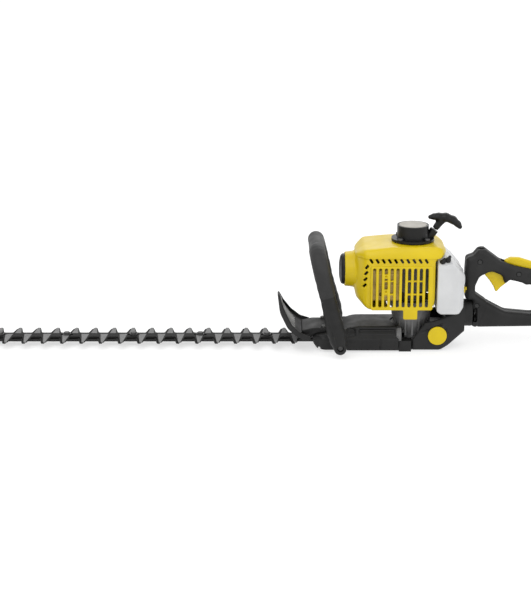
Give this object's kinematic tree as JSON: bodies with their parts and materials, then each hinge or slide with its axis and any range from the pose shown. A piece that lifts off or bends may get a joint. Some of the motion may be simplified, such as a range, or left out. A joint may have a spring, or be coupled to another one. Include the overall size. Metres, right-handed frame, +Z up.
{
  "type": "hedge trimmer",
  "caption": "Petrol hedge trimmer: double-sided reciprocating blades, yellow engine cover over a small two-stroke, black loop front handle, scoop hand guard and swivelling rear handle",
  "frame": {"origin": "on the flat base of the gear housing, straight under the crankshaft", "axes": "blades point along -X, operator stands at +X, up is +Z, muffler side is -Y"},
  "size_m": [1.1277, 0.198, 0.2477],
  "materials": {
    "black_plastic": "moulded glass-filled nylon, fine grain",
    "black_grip": "soft-touch grip sleeve, satin",
    "black_gloss": "smooth black moulding",
    "yellow_plastic": "bright yellow moulding, semi-gloss",
    "tank_plastic": "milky translucent polyethylene",
    "cast_aluminium": "die-cast, light bead-blast grain",
    "bar_aluminium": "dark anodised extrusion",
    "blade_steel": "hardened steel, ground cutting edges",
    "bolt_steel": "zinc plated",
    "black_steel": "black oxide",
    "bright_steel": "machined and ground",
    "forged_steel": "forged, oiled",
    "muffler_steel": "heat-tinted pressed steel",
    "rubber_black": "moulded rubber",
    "starter_plate": "pale satin plate, left blank",
    "rope_cord": "braided nylon",
    "filter_felt": "filter felt",
    "plug_ceramic": "glazed insulator with plated shell"
  },
  "bodies": {
    "root": {"base_cover": "black_plastic", "gearcase": "cast_aluminium", "bearings": "bright_steel", "front_housing": "black_plastic", "hand_guard": "black_plastic", "front_handle": "black_grip", "machine_screws": "bolt_steel", "guide_bar": "bar_aluminium", "blade_bolts": "bolt_steel", "rear_arm": "black_plastic", "rubber_dampers": "rubber_black", "damper_caps": "yellow_plastic", "swivel_tube": "bright_steel", "crankcase": "cast_aluminium", "engine_cylinder": "cast_aluminium", "spark_plug": "plug_ceramic", "spark_plug_cover": "black_gloss", "muffler": "muffler_steel", "intake_manifold": "rubber_black", "carburettor": "cast_aluminium", "air_filter_base": "black_plastic", "air_filter_element": "filter_felt", "air_filter_cover": "black_plastic", "engine_cover": "yellow_plastic", "ignition_coil": "black_gloss", "starter_housing": "black_gloss", "starter_disc": "starter_plate", "recoil_spring": "forged_steel", "fuel_tank": "tank_plastic", "tank_grommets": "rubber_black"},
    "lower_blade_set": {"lower_blade": "blade_steel", "lower_conrod": "forged_steel", "lower_blade_pin": "bright_steel"},
    "upper_blade_set": {"upper_blade": "blade_steel", "upper_conrod": "forged_steel", "upper_blade_pin": "bright_steel"},
    "crank": {"crankshaft": "forged_steel", "flywheel": "cast_aluminium", "flywheel_nut": "forged_steel", "clutch_hub": "forged_steel"},
    "drum": {"clutch_drum": "bright_steel"},
    "cam": {"cam_gear": "forged_steel"},
    "piston_set": {"piston": "cast_aluminium", "piston_pin": "bright_steel", "connecting_rod": "forged_steel", "crank_pin": "bright_steel"},
    "reel": {"starter_reel": "black_gloss", "starter_rope_coil": "rope_cord"},
    "pull_grip": {"starter_handle": "black_gloss", "starter_rope_end": "rope_cord"},
    "rear_grip": {"left_handle_shell": "black_plastic", "right_handle_shell": "black_plastic", "handle_screws": "black_steel", "handle_pins": "bright_steel"},
    "throttle": {"trigger": "yellow_plastic"},
    "lockoff": {"lockoff_lever": "yellow_plastic"},
    "swivel_latch": {"swivel_lock_lever": "yellow_plastic"},
    "stop_button": {"stop_switch": "black_gloss"},
    "choke": {"choke_lever": "black_gloss"},
    "filler_cap": {"fuel_cap": "black_gloss"}
  },
  "joints": [
    {"name": "lower_blade_slide", "type": "slide", "parent": "root", "child": "lower_blade_set", "axis": [1, 0, 0], "range_m": [-0.008, 0.008]},
    {"name": "upper_blade_slide", "type": "slide", "parent": "root", "child": "upper_blade_set", "axis": [1, 0, 0], "range_m": [-0.008, 0.008]},
    {"name": "crank_spin", "type": "hinge", "parent": "root", "child": "crank", "pos_m": [0, 0, 0.1435], "axis": [0, 0, 1], "continuous": true},
    {"name": "drum_spin", "type": "hinge", "parent": "root", "child": "drum", "pos_m": [0, 0, 0.05], "axis": [0, 0, 1], "continuous": true},
    {"name": "cam_spin", "type": "hinge", "parent": "root", "child": "cam", "pos_m": [-0.0465, 0, 0.03], "axis": [0, 0, 1], "continuous": true},
    {"name": "piston_slide", "type": "slide", "parent": "root", "child": "piston_set", "axis": [1, 0, 0], "range_m": [0, 0.028]},
    {"name": "starter_pull", "type": "slide", "parent": "root", "child": "pull_grip", "axis": [0.5707, 0, 0.8212], "range_m": [0, 0.6], "stiffness_N_per_m": 14, "springref_m": -0.3},
    {"name": "reel_spin", "type": "hinge", "parent": "root", "child": "reel", "pos_m": [0, 0, 0.21], "axis": [0, 0, 1], "range_deg": [0, 1900]},
    {"name": "rear_handle_swivel", "type": "hinge", "parent": "root", "child": "rear_grip", "pos_m": [0.111, 0, 0.061], "axis": [1, 0, 0], "range_deg": [-90, 90]},
    {"name": "trigger_pull", "type": "hinge", "parent": "rear_grip", "child": "throttle", "pos_m": [0.141, 0, 0.148], "axis": [0, 1, 0], "range_deg": [-14, 0], "stiffness_Nm_per_rad": 0.8, "springref_deg": 8.59},
    {"name": "lockoff_press", "type": "hinge", "parent": "rear_grip", "child": "lockoff", "pos_m": [0.25, 0, 0.124], "axis": [0, 1, 0], "range_deg": [-6, 0], "stiffness_Nm_per_rad": 0.8, "springref_deg": 8.59},
    {"name": "swivel_latch_turn", "type": "hinge", "parent": "rear_grip", "child": "swivel_latch", "pos_m": [0.095, -0.014, 0.11], "axis": [1, 0, 0], "range_deg": [-25, 0], "stiffness_Nm_per_rad": 0.05, "springref_deg": 17.19},
    {"name": "stop_button_press", "type": "slide", "parent": "rear_grip", "child": "stop_button", "axis": [0, 0, 1], "range_m": [-0.002, 0], "stiffness_N_per_m": 400, "springref_m": 0.002},
    {"name": "choke_turn", "type": "hinge", "parent": "root", "child": "choke", "pos_m": [-0.084, 0.065, 0.165], "axis": [0, 1, 0], "range_deg": [-50, 0]},
    {"name": "fuel_cap_turn", "type": "hinge", "parent": "root", "child": "filler_cap", "pos_m": [0.066, 0.06, 0.125], "axis": [0, 1, 0], "range_deg": [0, 300]}
  ],
  "couplings": [
    {"joint": "upper_blade_slide", "follows": "lower_blade_slide", "ratio": -1},
    {"joint": "cam_spin", "follows": "drum_spin", "ratio": -0.24},
    {"joint": "reel_spin", "follows": "starter_pull", "rad_per_m": 54}
  ]
}
